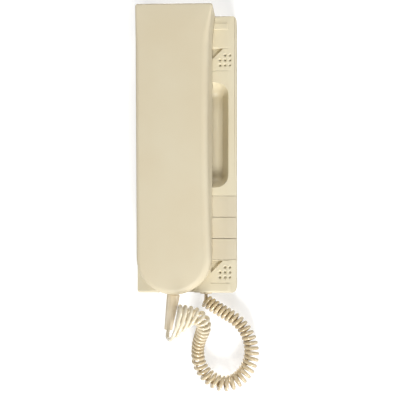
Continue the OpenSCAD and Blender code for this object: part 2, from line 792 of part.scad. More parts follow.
module cord_gland() {
    color(ivory) translate([gland_x, -gland_d, -base_z]) {
        translate([0, 0, -gland_lip]) cylinder(h = gland_lip, r = gland_r + 1.2);
        cylinder(h = wall, r = gland_r);
        translate([0, 0, wall]) cylinder(h = gland_lip, r = gland_r + 0.8);
    }
}

// Handset
handset_fixings = [ear_z - ear_r - 8, mouth_z + mouth_r + 12];
shell_boss_r = 4;
fixing_seat_d = back_d + 5;
ear_cup_r = capsule_r + 0.2;
mic_cup_r = mic_r + 3;
gasket_t = 1.2;
boot_neck_r = boot_r - 0.8;

// Hole for the boot's neck, through both shells at the seam
module boot_hole() {
    place_boot() translate([0, 0, -shell - 2]) cylinder(h = 2 * shell + 6, r = boot_neck_r + run_gap);
}

// Moves a shape from the boot's own frame, with its root at the origin, to the handset's foot
module place_boot() {
    translate(boot_root) rotate([0, boot_lean, 0]) children();
}

module handset_front() {
    color(ivory) difference() {
        union() {
            difference() {
                face_loft(seam_d, head_corner, 0, 0, 1);
                face_loft(seam_d - past, head_corner + shell, shell, shell, 0.5);
            }
            for (z = handset_fixings) post(hand_cx, z, seam_d, face_d(z) - shell / 2, shell_boss_r);
        }
        for (z = handset_fixings) post(hand_cx, z, seam_d - past, seam_d + 10, pilot_r);
        boot_hole();
    }
}

module handset_back() {
    color(ivory) difference() {
        union() {
            difference() {
                slab(back_d, seam_d) polygon(outline(-seam_step, head_corner));
                slab(back_d + shell, seam_d + past)
                    polygon(outline(-seam_step - shell, head_corner + shell));
            }
            for (rest = rests) post(hand_cx, rest[0], rest_face_d, back_d + shell, rest[1]);
            for (z = handset_fixings) post(hand_cx, z, back_d, seam_d, shell_boss_r);
        }
        for (rest = rests)
            post(hand_cx, rest[0], rest_face_d + shell, back_d + shell + past, rest[1] - shell);
        sound_holes(ear_z, 1.4, 6, 6);
        sound_holes(mouth_z, 1.1, 3.6, 6);
        for (z = handset_fixings) {
            post(hand_cx, z, back_d - past, fixing_seat_d, head_r_screw + screw_gap);
            post(hand_cx, z, back_d - past, seam_d + past, screw_r + screw_gap);
        }
        boot_hole();
    }
}

// One hole in the middle of a rest and a ring of holes round it
module sound_holes(z, r, ring_r, count) {
    post(hand_cx, z, rest_face_d - past, back_d, r);
    for (i = [0:count - 1]) let (a = 360 * i / count)
        post(hand_cx + ring_r * cos(a), z + ring_r * sin(a), rest_face_d - past, back_d, r);
}

module handset_screws() {
    color(steel) for (z = handset_fixings) screw_out(hand_cx, z, fixing_seat_d, seam_d + 9);
}

// Screw driven away from the wall, with its head's bearing face at seat_d
module screw_out(x, z, seat_d, tip_d) {
    difference() {
        union() {
            post(x, z, seat_d - head_h / 2, tip_d, screw_r);
            post(x, z, seat_d - head_h, seat_d, head_r_screw);
        }
        for (turn = [0, 90]) translate([x, -seat_d + head_h, z]) rotate([0, turn, 0])
            cube([head_r_screw * 1.3, head_h, 0.7], center = true);
    }
}

module ear_gasket() {
    d0 = rest_face_d + shell;
    color(grey_rubber) difference() {
        post(hand_cx, ear_z, d0, d0 + gasket_t, capsule_r);
        post(hand_cx, ear_z, d0 - past, d0 + gasket_t + past, capsule_r - 4);
    }
}

module ear_capsule() {
    d0 = rest_face_d + shell + gasket_t;
    color(black_plastic) {
        post(hand_cx, ear_z, d0, d0 + capsule_h * 0.6, capsule_r);
        post(hand_cx, ear_z, d0 + capsule_h * 0.6, d0 + capsule_h, capsule_r * 0.6);
    }
}

module mouth_grommet() {
    d0 = rest_face_d + shell;
    color(grey_rubber) difference() {
        post(hand_cx, mouth_z, d0, d0 + mic_h, mic_cup_r);
        post(hand_cx, mouth_z, d0 + 1.5, d0 + mic_h + past, mic_r + run_gap);
        post(hand_cx, mouth_z, d0 - past, d0 + 2, mic_r - 1);
    }
}

module mouth_capsule() {
    d0 = rest_face_d + shell + 1.5;
    color(steel) post(hand_cx, mouth_z, d0, d0 + mic_h, mic_r);
}

// Soft tapered boot: a collar inside the shells, a neck in their hole and the taper outside
module cord_boot() {
    inner = shell + seam_step + 1.6;
    collar = 1.8;
    color(ivory) place_boot() rotate_extrude() polygon([
        [0, inner + collar], [boot_neck_r + collar, inner + collar], [boot_neck_r + collar, inner],
        [boot_neck_r, inner], [boot_neck_r, -boot_shoulder], [boot_r, -boot_shoulder],
        [boot_r, -boot_shoulder - 3], [boot_tip_r, -boot_len], [0, -boot_len]
    ]);
}

// Curly cord
// Smooth curve through the route's points: a Catmull-Rom spline with its ends run straight on
function route_point(r, i) =
    i < 0 ? 2 * r[0] - r[1] : i >= len(r) ? 2 * r[len(r) - 1] - r[len(r) - 2] : r[i];
function spline(r, u) =
    let (
        i = min(floor(u), len(r) - 2),
        t = u - i,
        a = route_point(r, i - 1),
        b = r[i],
        c = r[i + 1],
        e = route_point(r, i + 2)
    ) b + ((c - a) * t + (2 * a - 5 * b + 4 * c - e) * t * t + (3 * b - a - 3 * c + e) * t * t * t) / 2;

// Length along the inside of the route's bends, as a table from length to place: a step counts for less
// where the route turns, so that the curls lie evenly on the inside of each bend
curl_r = (coil_d - strand_d) / 2;
function place(q) = [q[0], q[1], q[2]];
route_steps = 10 * (len(coil_route) - 1);
route_samples = [for (i = [0:route_steps]) place(spline(coil_route, i / 10))];
function route_step(i) = route_samples[i] - route_samples[i - 1];
function route_bend(i) = i >= route_steps ? 0 :
    norm(cross(unit(route_step(i)), unit(route_step(i + 1))));
inside_lengths = [for (i = 0, sum = 0; i <= route_steps;
    i = i + 1, sum = i <= route_steps ? sum + norm(route_step(i)) - curl_r * route_bend(i) : sum) sum];
route_table = [for (i = [0:route_steps]) [inside_lengths[i], i / 10]];

// Helix round the route: its radius vector turns from phase_start by the curls to phase_end
turn_total = phase_start - phase_end + 360 * curls;
helix_steps = round(turn_total / 360 * rings_per_curl);
function helix_point(i) =
    let (
        u = lookup(inside_lengths[route_steps] * i / helix_steps, route_table),
        q = spline(coil_route, u),
        ahead = place(spline(coil_route, min(u + 0.1, len(coil_route) - 1))),
        behind = place(spline(coil_route, max(u - 0.1, 0))),
        t = unit(ahead - behind),
        n = unit(cross(t, [0, 1, 0])),
        b = cross(t, n),
        r = (q[3] * coil_d - strand_d) / 2,
        phase = phase_start - turn_total * i / helix_steps
    ) place(q) + r * (cos(phase) * n + sin(phase) * b) + max(0, -cos(phase)) * q[4] * hang_way;

// The boot's tip and the direction in which the cord leaves it
boot_way = [-sin(boot_lean), 0, -cos(boot_lean)];
boot_tip = boot_root + boot_len * boot_way;
gland_face = [gland_x, -gland_d, -base_z - gland_lip];

cord_path = concat(
    [boot_tip, boot_tip + strand_d * boot_way],
    cord_hook,
    [for (i = [0:helix_steps]) helix_point(i)],
    [gland_face - [0, 0, strand_d], gland_face]
);

// Least gap of the cord to itself, over points that lie more than one curl's width apart along it
cord_lengths = [for (i = 0, sum = 0; i < len(cord_path);
    i = i + 1, sum = i < len(cord_path) ? sum + norm(cord_path[i] - cord_path[i - 1]) : sum) sum];
cord_gap = min([for (i = [0:len(cord_path) - 2]) for (j = [i + 1:len(cord_path) - 1])
    if (cord_lengths[j] - cord_lengths[i] > coil_d) norm(cord_path[i] - cord_path[j])]) - strand_d;
echo(cord_length = cord_lengths[len(cord_path) - 1], cord_gap = cord_gap);

module curly_cord() {
    color(ivory) tube(cord_path, strand_d, strand_sides, [0, 1, 0]);
}

front_cover();
wall_plate();
cover_screws();
key_upper();
key_middle();
key_lower();
key_dome_upper();
key_dome_middle();
key_dome_lower();
circuit_board();
board_screws();
board_capacitors();
speech_chip();
cord_socket();
terminal_block();
terminal_screws();
call_sounder();
hook_lever();
hook_pin();
hook_spring();
hook_switch();
cord_gland();
handset_front();
handset_back();
handset_screws();
ear_capsule();
ear_gasket();
mouth_capsule();
mouth_grommet();
cord_boot();
curly_cord();
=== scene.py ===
"""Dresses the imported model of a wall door-phone: handset, base with a strip of keys, and curly cord.

Lengths are in metres. X runs to the right, Z up and -Y out of the wall. A depth d before the wall is Y = -d.
"""

import math

import bmesh
import bpy
import numpy as np
from bpy.props import FloatProperty, FloatVectorProperty, IntProperty, PointerProperty
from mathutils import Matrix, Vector


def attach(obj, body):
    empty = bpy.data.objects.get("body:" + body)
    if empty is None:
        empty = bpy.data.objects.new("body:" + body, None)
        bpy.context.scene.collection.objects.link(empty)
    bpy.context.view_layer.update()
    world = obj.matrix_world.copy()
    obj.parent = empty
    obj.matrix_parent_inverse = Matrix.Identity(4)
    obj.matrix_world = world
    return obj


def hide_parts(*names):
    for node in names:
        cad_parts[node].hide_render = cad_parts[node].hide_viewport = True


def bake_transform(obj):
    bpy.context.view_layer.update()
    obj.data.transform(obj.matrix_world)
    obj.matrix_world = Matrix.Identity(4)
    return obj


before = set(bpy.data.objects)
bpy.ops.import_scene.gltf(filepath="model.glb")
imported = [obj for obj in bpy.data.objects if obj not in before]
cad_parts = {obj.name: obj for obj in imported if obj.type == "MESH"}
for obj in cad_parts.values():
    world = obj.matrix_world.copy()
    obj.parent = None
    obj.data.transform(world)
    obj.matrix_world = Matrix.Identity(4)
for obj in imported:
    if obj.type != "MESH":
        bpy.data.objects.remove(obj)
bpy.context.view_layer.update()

bl_info = {
    "name": "Wall door-phone",
    "version": (1, 0, 0),
    "blender": (4, 5, 0),
    "location": "View3D > Sidebar > Door-phone",
    "description": "Shapes, finishes and stage of a wall door-phone with a curly cord",
    "category": "Object",
}

MM = 0.001

# Handset, as in the part's source
HAND_LEFT = -36.9 * MM
HAND_RIGHT = 20.5 * MM
HAND_MID = (HAND_LEFT + HAND_RIGHT) / 2
HAND_RADIUS = (HAND_RIGHT - HAND_LEFT) / 2
TOP_Z = 111 * MM
ROUND_Z = HAND_RADIUS - TOP_Z
HEAD_CORNER = 2 * MM
HEAD_EDGE = 1.5 * MM
FLARE = 2.4 * MM
FLARE_LENGTH = 30 * MM
WAIST = 2.3 * MM
WAIST_Z = 15 * MM
WAIST_LENGTH = 200 * MM
SEAM_DEPTH = 34 * MM
FACE_TOP_DEPTH = 61 * MM
FACE_LOW_DEPTH = 50 * MM
SHELL = 2.2 * MM

# Boot and gland, as in the part's source
BOOT_X = -9.9 * MM
BOOT_FOOT = ROUND_Z - math.sqrt(HAND_RADIUS**2 - (BOOT_X - HAND_MID)**2)
BOOT_ROOT = np.array([BOOT_X, -SEAM_DEPTH, BOOT_FOOT])
BOOT_LEAN = math.radians(8.5)
BOOT_WAY = np.array([-math.sin(BOOT_LEAN), 0, -math.cos(BOOT_LEAN)])
BOOT_LENGTH = 29 * MM
BOOT_RADIUS = 5 * MM
BOOT_TIP_RADIUS = 3.1 * MM
BOOT_TIP = BOOT_ROOT + BOOT_LENGTH * BOOT_WAY
BOOT_INSIDE = 4.8 * MM
BOOT_NECK_RADIUS = BOOT_RADIUS - 0.8 * MM
BOOT_COLLAR = 1.8 * MM
BOOT_COLLAR_RADIUS = BOOT_NECK_RADIUS + BOOT_COLLAR
BOOT_SHOULDER = 0.8 * MM
BOOT_STRAIGHT = 3 * MM
GLAND_RADIUS = 4 * MM
GLAND_LIP = 2 * MM
GLAND_LIP_RADIUS = GLAND_RADIUS + 1.2 * MM
GLAND_FLANGE_RADIUS = GLAND_RADIUS + 0.8 * MM
GLAND_FACE = np.array([14 * MM, -9.3 * MM, -TOP_Z - GLAND_LIP])
COVER_WALL = 2.2 * MM

# Where the strand sits in the boot and the gland: depth of each hollow, how much narrower than the strand it
# is, and how far the gland's mouth widens past the strand
BOOT_HOLLOW = 2 * MM
GLAND_HOLLOW = 0.5 * MM
STRAND_GRIP = 0.1 * MM
GLAND_FUNNEL = 0.4 * MM

# Rounding of the corners of the boot and the gland
BOOT_ROUNDING = 0.7 * MM
GLAND_ROUNDING = 0.5 * MM

# Growth of the face's rounded edge at the left, as a share of its growth at the right
LEFT_EDGE_SHARE = 0.35

# Lip at the handset's seam, and cut of the front shell's inner corner as a share of the edge outside it
SEAM_LIP = 0.25 * MM
INNER_CUT = 0.15

# Stations on the handset's outline: right side, flare, each corner, left side and foot
RIGHT_STATIONS = 48
FLARE_STATIONS = 24
CORNER_STATIONS = 8
LEFT_STATIONS = 72
FOOT_STATIONS = 96

# Rings of the front shell: round its edge, up its side from the seam, and over its face to the middle
EDGE_RINGS = 14
SIDE_SHARES = (0.03, 0.2, 0.4, 0.6, 0.8, 0.97)
FACE_SHARES = (0.06, 0.14, 0.25, 0.38, 0.52, 0.66, 0.8, 0.92)

# Floor of the finger scoop: its depth, and the span of X and Z in which it lies
SCOOP_FLOOR_DEPTH = 12 * MM
SCOOP_SPAN = np.array([[8, 30], [-30, 58]]) * MM

# Cord from the boot to the gland, as in the part's source. A row of the coil's middle line has a place, the
# coil's width there as a share of its usual width, and how far the curls' lower ends hang down there.
CORD_HOOK = np.array([[-14.3, -36.4, -145.2], [-12.4, -41, -146.4]]) * MM
COIL_ROUTE = np.array([
    [-5.2, -50.5, -124.6, 1.15, 16], [-2, -49.2, -124.8, 1.15, 13], [1.4, -47.8, -125.2, 1.1, 9],
    [4.8, -46.2, -126, 1.1, 5], [8, -44.4, -127.2, 1.1, 2], [10.9, -42, -129.2, 1.05, 0],
    [13.2, -38.8, -132.2, 1.05, 0], [13.9, -34.9, -136.4, 1, 0], [12.8, -30.9, -141.1, 1, 0],
    [10.9, -27.2, -145.8, 0.95, 0], [9.3, -23.6, -150.7, 0.92, 0], [8.3, -20.2, -155.8, 0.9, 0],
    [8, -17, -161.4, 0.92, 0], [8.6, -14.8, -167.6, 0.97, 0], [11.2, -14, -173.8, 1, 0],
    [15.6, -14, -179.3, 1.05, 0], [21.4, -14, -183.5, 1.1, 0], [28, -14, -185.5, 1.1, 0],
    [35.4, -14, -184.5, 1.1, 0], [42.3, -14, -180.2, 1.1, 0], [47.8, -14, -173.5, 1.1, 0],
    [50.9, -14, -165.5, 1.1, 0], [51.2, -14, -157, 1.05, 0], [49.3, -14, -148.5, 1, 0],
    [45, -14, -140.5, 0.95, 0], [38.8, -14, -134, 0.95, 0], [31, -14, -129, 0.95, 0],
    [22.5, -13.7, -124, 0.95, 0], [13.5, -13, -118.5, 0.95, 0],
]) * [MM, MM, MM, 1, MM]

# Way in which the curls' lower ends hang, and how softly each curl passes into its hang
HANG_WAY = np.array([-0.3, 0, -0.95])
HANG_EASE = 0.2

# Angle of the strand about the coil's middle line where the curls begin and where they end
PHASE_START = math.radians(-170)
PHASE_END = math.radians(-90)

# Fineness of the coil's middle line, of each curl, of the joins at the cord's ends and of the strand
ROUTE_STEPS = 10
POINTS_PER_CURL = 40
JOIN_STEPS = 8
STRAND_SIDES = 14

# Stretch of the strand, as shares of its length, over which the painted highlight of its first turns fades
# into the cord's own colour
PAINTED_LIGHT_FADE = (0.13, 0.27)

# Place and width of each lamp
LAMPS = {
    "key": ((0.25, -1.75, -1.65), 0.6),
    "low": ((0.3, -0.5, -2.2), 0.5),
    "top": ((0.2, -1.3, 1.6), 0.7),
    "right": ((2.0, -0.6, -0.5), 0.7),
    "left": ((-2.0, -0.6, -0.3), 0.8),
    "back": ((-0.5, 1.5, 1.4), 1.0),
}
LAMP_AIM = (0, -30 * MM, -20 * MM)

# Half of the wall's width, and its distance behind the plate
WALL_HALF = 1.5
WALL_GAP = 0.5 * MM

# Width of the camera's sensor, in millimetres
SENSOR_WIDTH = 36.0

# Distances within which points are one, in a new surface and in a copy of a CAD node
WELD_DISTANCE = 1e-7
MERGE_DISTANCE = 1e-6

# Angle below which faces merge, and angles past which an edge is rounded or stays sharp
FLAT_ANGLE = math.radians(0.4)
ROUNDED_ANGLE = math.radians(38)
SHARP_ANGLE = math.radians(40)
SHELL_SHARP_ANGLE = math.radians(50)


def linear(red, green, blue):
    """Linear colour of an sRGB colour given in steps of 0 to 255."""
    share = np.array([red, green, blue]) / 255
    return tuple(np.where(share <= 0.04045, share / 12.92, ((share + 0.055) / 1.055) ** 2.4))


class FinishSettings(bpy.types.PropertyGroup):
    """Colours of the finishes."""

    handset: FloatVectorProperty(
        name="Handset", description="Ivory of the handset's shells", subtype="COLOR", min=0, max=1,
        default=linear(219, 208, 180))
    handset_aged: FloatVectorProperty(
        name="Handset, yellowed", description="Warmer ivory where the handset has yellowed",
        subtype="COLOR", min=0, max=1, default=linear(216, 203, 173))
    strip: FloatVectorProperty(
        name="Base", description="Ivory of the base's cover and plate", subtype="COLOR", min=0, max=1,
        default=linear(222, 213, 186))
    strip_aged: FloatVectorProperty(
        name="Base, yellowed", description="Warmer ivory where the base has yellowed",
        subtype="COLOR", min=0, max=1, default=linear(218, 207, 178))
    # Painted shade: the keys are of the base's plastic, and their ivory is a darker copy of the base's ivory
    keys: FloatVectorProperty(
        name="Keys", description="Ivory of the keys", subtype="COLOR", min=0, max=1,
        default=linear(213, 203, 178))
    keys_aged: FloatVectorProperty(
        name="Keys, yellowed", description="Warmer ivory where the keys have yellowed",
        subtype="COLOR", min=0, max=1, default=linear(209, 197, 170))
    boot: FloatVectorProperty(
        name="Boot", description="Pale vinyl of the boot and the gland", subtype="COLOR", min=0, max=1,
        default=linear(234, 220, 194))
    cord: FloatVectorProperty(
        name="Cord", description="Tan of the cord's vinyl", subtype="COLOR", min=0, max=1,
        default=linear(217, 199, 162))
    # Painted highlight: the paler colour of the cord's first turns, which hang nearest the lamps
    cord_painted_light: FloatVectorProperty(
        name="Cord, clean", description="Pale vinyl of the cord's first turns", subtype="COLOR", min=0, max=1,
        default=linear(238, 226, 198))
    cord_soiled: FloatVectorProperty(
        name="Cord, soiled", description="Darker tan where the cord is soiled", subtype="COLOR", min=0, max=1,
        default=linear(199, 178, 139))


class CordSettings(bpy.types.PropertyGroup):
    """Sizes of the curly cord."""

    strand: FloatProperty(
        name="Strand", description="Thickness of the strand", default=2.9 * MM, unit="LENGTH")
    coil: FloatProperty(
        name="Coil", description="Outside width of the coil", default=11.8 * MM, unit="LENGTH")
    curls: IntProperty(name="Curls", description="Turns of the coil", default=47, min=1)
    length: FloatProperty(
        name="Length", description="Length of the strand from the boot to the gland", default=1.43,
        unit="LENGTH")


class ShellSettings(bpy.types.PropertyGroup):
    """Sizes of the moulded shells."""

    face_edge: FloatProperty(
        name="Face edge", description="Radius of the rounded edge round the handset's face",
        default=6 * MM, unit="LENGTH")
    face_crown: FloatProperty(
        name="Face crown", description="How far the handset's face swells at its middle",
        default=0.5 * MM, unit="LENGTH")
    scoop_edge: FloatProperty(
        name="Scoop edge", description="Width of the rounding between the scoop's floor and its walls",
        default=3.6 * MM, unit="LENGTH")
    key_edge: FloatProperty(
        name="Key edge", description="Radius of the keys' edges", default=0.35 * MM, unit="LENGTH")
    moulded_edge: FloatProperty(
        name="Moulded edge", description="Radius of the small edges of the mouldings",
        default=0.25 * MM, unit="LENGTH")


class StageSettings(bpy.types.PropertyGroup):
    """Camera, lamps and wall."""

    camera_place: FloatVectorProperty(
        name="Camera", description="Where the camera stands", subtype="XYZ", unit="LENGTH",
        default=(53.1 * MM, -602.2 * MM, -62.9 * MM))
    camera_aim: FloatVectorProperty(
        name="Aim", description="What the camera looks at", subtype="XYZ", unit="LENGTH",
        default=(35.92 * MM, -28 * MM, -49.87 * MM))
    camera_shift: FloatVectorProperty(
        name="Shift", description="Shift of the lens across and up, as shares of the frame", size=2,
        default=(-0.08, 0.04))
    lens: FloatProperty(
        name="Lens", description="Focal length on a 36 mm sensor, in millimetres", default=64.91)
    wall: FloatVectorProperty(
        name="Wall", description="Colour of the wall behind the door-phone", subtype="COLOR", min=0, max=1,
        default=(0.66, 0.66, 0.66))
    wall_glow: FloatProperty(
        name="Wall glow", description="Light of the wall itself, which keeps it near white", default=0.5)
    key_power: FloatProperty(
        name="Key lamp", description="Power of the lamp below the camera", default=37.0, unit="POWER")
    low_power: FloatProperty(
        name="Low lamp", description="Power of the lamp far below", default=23.0, unit="POWER")
    top_power: FloatProperty(
        name="Top lamp", description="Power of the lamp above the camera", default=13.0, unit="POWER")
    right_power: FloatProperty(
        name="Right lamp", description="Power of the lamp at the right", default=17.0, unit="POWER")
    left_power: FloatProperty(
        name="Left lamp", description="Power of the lamp at the left", default=10.5, unit="POWER")
    back_power: FloatProperty(
        name="Back lamp", description="Power of the lamp above and behind", default=56.0, unit="POWER")
    sky: FloatProperty(name="Sky", description="Strength of the light from all round", default=0.08)


SETTINGS = {
    "doorphone_finish": FinishSettings,
    "doorphone_cord": CordSettings,
    "doorphone_shell": ShellSettings,
    "doorphone_stage": StageSettings,
}


# Surfaces

def unit(vectors):
    """Vectors of length one along the last axis."""
    return vectors / np.linalg.norm(vectors, axis=-1, keepdims=True)


def add_object(name, data):
    """New object in the scene, at the origin."""
    item = bpy.data.objects.new(name, data)
    bpy.context.scene.collection.objects.link(item)
    return item


def grid_faces(rows, columns):
    """Quads of a grid whose columns close on themselves, row by row."""
    row = np.arange(rows - 1)[:, None] * columns
    column = np.arange(columns)[None, :]
    following = (column + 1) % columns
    corners = [row + column, row + following, row + columns + following, row + columns + column]
    return np.stack(np.broadcast_arrays(*corners), axis=-1).reshape(-1, 4)


def closed_piece(name, grid, sharp_angle=SHARP_ANGLE):
    """Piece from a grid of points whose columns close on themselves, with both end rows capped.

    Rows that shrink to a point become poles. Face corners keep their grid place as UV: share of the
    way round, and share of the way along.
    """
    rows, columns = grid.shape[:2]
    faces = grid_faces(rows, columns).tolist()
    caps = [list(range(columns)), list(range((rows - 1) * columns, rows * columns))]
    mesh = bpy.data.meshes.new(name)
    mesh.from_pydata(grid.reshape(-1, 3), [], faces + caps)
    place = mesh.uv_layers.new(name="Surface")
    corner_point = np.empty(len(mesh.loops), dtype=np.int32)
    mesh.loops.foreach_get("vertex_index", corner_point)
    uv = np.stack([corner_point % columns / columns, corner_point // columns / (rows - 1)], axis=-1)
    place.data.foreach_set("uv", uv.astype(np.float32).ravel())
    weld(mesh)
    mesh.shade_smooth()
    mesh.set_sharp_from_angle(angle=sharp_angle)
    return add_object(name, mesh)


def weld(mesh):
    """Joins the mesh's double points and turns its faces outwards."""
    shape = bmesh.new()
    shape.from_mesh(mesh)
    bmesh.ops.remove_doubles(shape, verts=shape.verts, dist=WELD_DISTANCE)
    bmesh.ops.recalc_face_normals(shape, faces=shape.faces)
    shape.to_mesh(mesh)
    shape.free()


def spline(points, place):
    """Points of a Catmull-Rom curve through the given points, at places counted in points from the first.

    Between b and c, with a before and e after them and t from 0 to 1:
    b + ((c - a) t + (2a - 5b + 4c - e) t^2 + (3b - a - 3c + e) t^3) / 2. The ends run straight on.
    """
    before = 2 * points[0] - points[1]
    after = 2 * points[-1] - points[-2]
    full = np.vstack([before, points, after])
    first = np.minimum(np.floor(place).astype(int), len(points) - 2)
    t = (place - first)[:, None]
    a, b, c, e = (full[first + step] for step in range(4))
    return b + ((c - a) * t + (2 * a - 5 * b + 4 * c - e) * t**2 + (3 * b - a - 3 * c + e) * t**3) / 2


def carried_frames(path):
    """Two directions across a path that don't twist about it.

    A rough direction across is the path's heading crossed with Y. The angle by which it turns about the
    heading from point to point is summed, and turned back.
    """
    heading = unit(np.gradient(path, axis=0))
    rough = unit(np.cross(heading, [0, 1, 0]))
    beside = np.cross(heading, rough)
    last = rough[:-1]
    turn = np.arctan2(np.sum(last * beside[1:], axis=1), np.sum(last * rough[1:], axis=1))
    back = np.concatenate([[0], np.cumsum(turn)])[:, None]
    across = np.cos(back) * rough + np.sin(back) * beside
    return across, np.cross(heading, across)


def tube_grid(path, radius, sides):
    """Rings of a round tube along a path: each point plus radius (cos(angle) across + sin(angle) beside)."""
    across, beside = carried_frames(path)
    angle = np.linspace(0, 2 * math.pi, sides, endpoint=False)[None, :, None]
    return path[:, None] + radius * (np.cos(angle) * across[:, None] + np.sin(angle) * beside[:, None])


def rounded_profile(corners, radius, steps=5):
    """Open line through the corners, each inner corner replaced by a quadratic curve.

    The curve leaves each side at the radius from the corner, or halfway where the side is short.
    """
    corners = np.asarray(corners, dtype=float)
    middle = corners[1:-1]
    back, on = corners[:-2] - middle, corners[2:] - middle
    back_length = np.linalg.norm(back, axis=1, keepdims=True)
    on_length = np.linalg.norm(on, axis=1, keepdims=True)
    start = middle + back * np.minimum(radius / back_length, 0.5)
    end = middle + on * np.minimum(radius / on_length, 0.5)
    t = np.linspace(0, 1, steps)[None, :, None]
    curves = (1 - t)**2 * start[:, None] + 2 * t * (1 - t) * middle[:, None] + t**2 * end[:, None]
    return np.vstack([corners[:1], curves.reshape(-1, 2), corners[-1:]])


def revolved_grid(profile, origin, way, sides=48):
    """Rings of a profile of radius and length turned about an axis from the origin along a way."""
    across = unit(np.cross(way, [0, 1, 0]))
    beside = np.cross(way, across)
    angle = np.linspace(0, 2 * math.pi, sides, endpoint=False)[None, :, None]
    ring = np.cos(angle) * across + np.sin(angle) * beside
    return origin + profile[:, None, 1:] * way + profile[:, None, :1] * ring


def merged_copy(node, name):
    """Copy of a CAD node with its triangles merged into whole faces."""
    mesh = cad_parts[node].data.copy()
    mesh.name = name
    # The node's own normals no longer fit once its faces are merged.
    if "custom_normal" in mesh.attributes:
        mesh.attributes.remove(mesh.attributes["custom_normal"])
    shape = bmesh.new()
    shape.from_mesh(mesh)
    bmesh.ops.remove_doubles(shape, verts=shape.verts, dist=MERGE_DISTANCE)
    bmesh.ops.dissolve_limit(shape, angle_limit=FLAT_ANGLE, verts=shape.verts, edges=shape.edges)
    shape.to_mesh(mesh)
    shape.free()
    mesh.shade_smooth()
    return add_object(name, mesh)


def add_bevel(piece, name, chosen_by, width, segments):
    """Modifier that rounds the piece's edges, chosen by their angle or by their weight."""
    bevel = piece.modifiers.new(name, "BEVEL")
    bevel.limit_method = chosen_by
    bevel.width = width
    bevel.segments = segments
    bevel.use_clamp_overlap = False
    return bevel


def dressed_copy(node, name, edge, segments=2):
    """Merged copy of a CAD node with its edges rounded."""
    piece = merged_copy(node, name)
    bevel = add_bevel(piece, "Rounded edges", "ANGLE", edge, segments)
    bevel.angle_limit = ROUNDED_ANGLE
    weighted = piece.modifiers.new("Flat faces", "WEIGHTED_NORMAL")
    weighted.keep_sharp = True
    return piece


def round_scoop(cover, width):
    """Rounds the cover's edges that lie on the scoop's floor, before its other edges are rounded."""
    mesh = cover.data
    points = np.empty(3 * len(mesh.vertices))
    mesh.vertices.foreach_get("co", points)
    x, y, z = points.reshape(-1, 3).T
    (left, right), (low, high) = SCOOP_SPAN
    at_depth = abs(y + SCOOP_FLOOR_DEPTH) < 0.01 * MM
    on_floor = at_depth & (x > left) & (x < right) & (z > low) & (z < high)
    ends = np.empty(2 * len(mesh.edges), dtype=np.int32)
    mesh.edges.foreach_get("vertices", ends)
    on_edge = on_floor[ends.reshape(-1, 2)].all(axis=1)
    if not on_edge.any():
        raise RuntimeError("The cover has no edge on the scoop's floor")
    weights = mesh.attributes.new("bevel_weight_edge", "FLOAT", "EDGE")
    weights.data.foreach_set("value", on_edge.astype(np.float32))
    add_bevel(cover, "Rounded scoop", "WEIGHT", width, segments=8)
    cover.modifiers.move(len(cover.modifiers) - 1, 0)


def stand_for(piece, node, body, material):
    """Puts a finished piece in place of a CAD node on a body."""
    piece.data.materials.clear()
    piece.data.materials.append(material)
    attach(piece, body)
    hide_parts(node)


def dress_node(node, material):
    """Gives a CAD node that keeps its own shape a finish."""
    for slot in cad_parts[node].material_slots:
        slot.material = material


# Finishes

def add_node(tree, kind, settings=None, **sockets):
    """New node with its settings and the values of its inputs, whose names have underscores for spaces."""
    node = tree.nodes.new(kind)
    for key, value in (settings or {}).items():
        setattr(node, key, value)
    for key, value in sockets.items():
        node.inputs[key.replace("_", " ")].default_value = value
    return node


def moulding_group():
    """Shader group of a moulded plastic: slow yellowing, soft gloss changes and a fine grain."""
    name = "Moulded surface"
    if name in bpy.data.node_groups:
        return bpy.data.node_groups[name]
    tree = bpy.data.node_groups.new(name, "ShaderNodeTree")
    inlets = {
        "Place": "Vector", "Colour": "Color", "Aged colour": "Color", "Patch scale": "Float",
        "Grain scale": "Float", "Roughness low": "Float", "Roughness high": "Float",
    }
    outlets = {"Colour": "Color", "Roughness": "Float", "Height": "Float"}
    for side, sockets in (("INPUT", inlets), ("OUTPUT", outlets)):
        for socket, kind in sockets.items():
            tree.interface.new_socket(socket, in_out=side, socket_type=f"NodeSocket{kind}")
    link = tree.links.new
    inputs = add_node(tree, "NodeGroupInput")
    outputs = add_node(tree, "NodeGroupOutput")
    patches = add_node(tree, "ShaderNodeTexNoise", Detail=3.0, Roughness=0.5)
    spread = add_node(tree, "ShaderNodeMapRange", From_Min=0.32, From_Max=0.68)
    blend = add_node(tree, "ShaderNodeMix", {"data_type": "RGBA"})
    smears = add_node(tree, "ShaderNodeTexNoise", Scale=70.0, Detail=4.0, Roughness=0.6)
    roughness = add_node(tree, "ShaderNodeMapRange", From_Min=0.3, From_Max=0.7)
    grain = add_node(tree, "ShaderNodeTexNoise", Detail=2.0, Roughness=0.5)
    link(inputs.outputs["Place"], patches.inputs["Vector"])
    link(inputs.outputs["Place"], smears.inputs["Vector"])
    link(inputs.outputs["Place"], grain.inputs["Vector"])
    link(inputs.outputs["Patch scale"], patches.inputs["Scale"])
    link(inputs.outputs["Grain scale"], grain.inputs["Scale"])
    link(patches.outputs["Fac"], spread.inputs["Value"])
    link(spread.outputs["Result"], blend.inputs["Factor"])
    link(inputs.outputs["Colour"], blend.inputs["A"])
    link(inputs.outputs["Aged colour"], blend.inputs["B"])
    link(smears.outputs["Fac"], roughness.inputs["Value"])
    link(inputs.outputs["Roughness low"], roughness.inputs["To Min"])
    link(inputs.outputs["Roughness high"], roughness.inputs["To Max"])
    link(blend.outputs["Result"], outputs.inputs["Colour"])
    link(roughness.outputs["Result"], outputs.inputs["Roughness"])
    link(grain.outputs["Fac"], outputs.inputs["Height"])
    return tree


def new_material(name):
    """Material with a Principled shader alone, and its tree and shader."""
    material = bpy.data.materials.new(name)
    material.use_nodes = True
    tree = material.node_tree
    return material, tree, tree.nodes["Principled BSDF"]


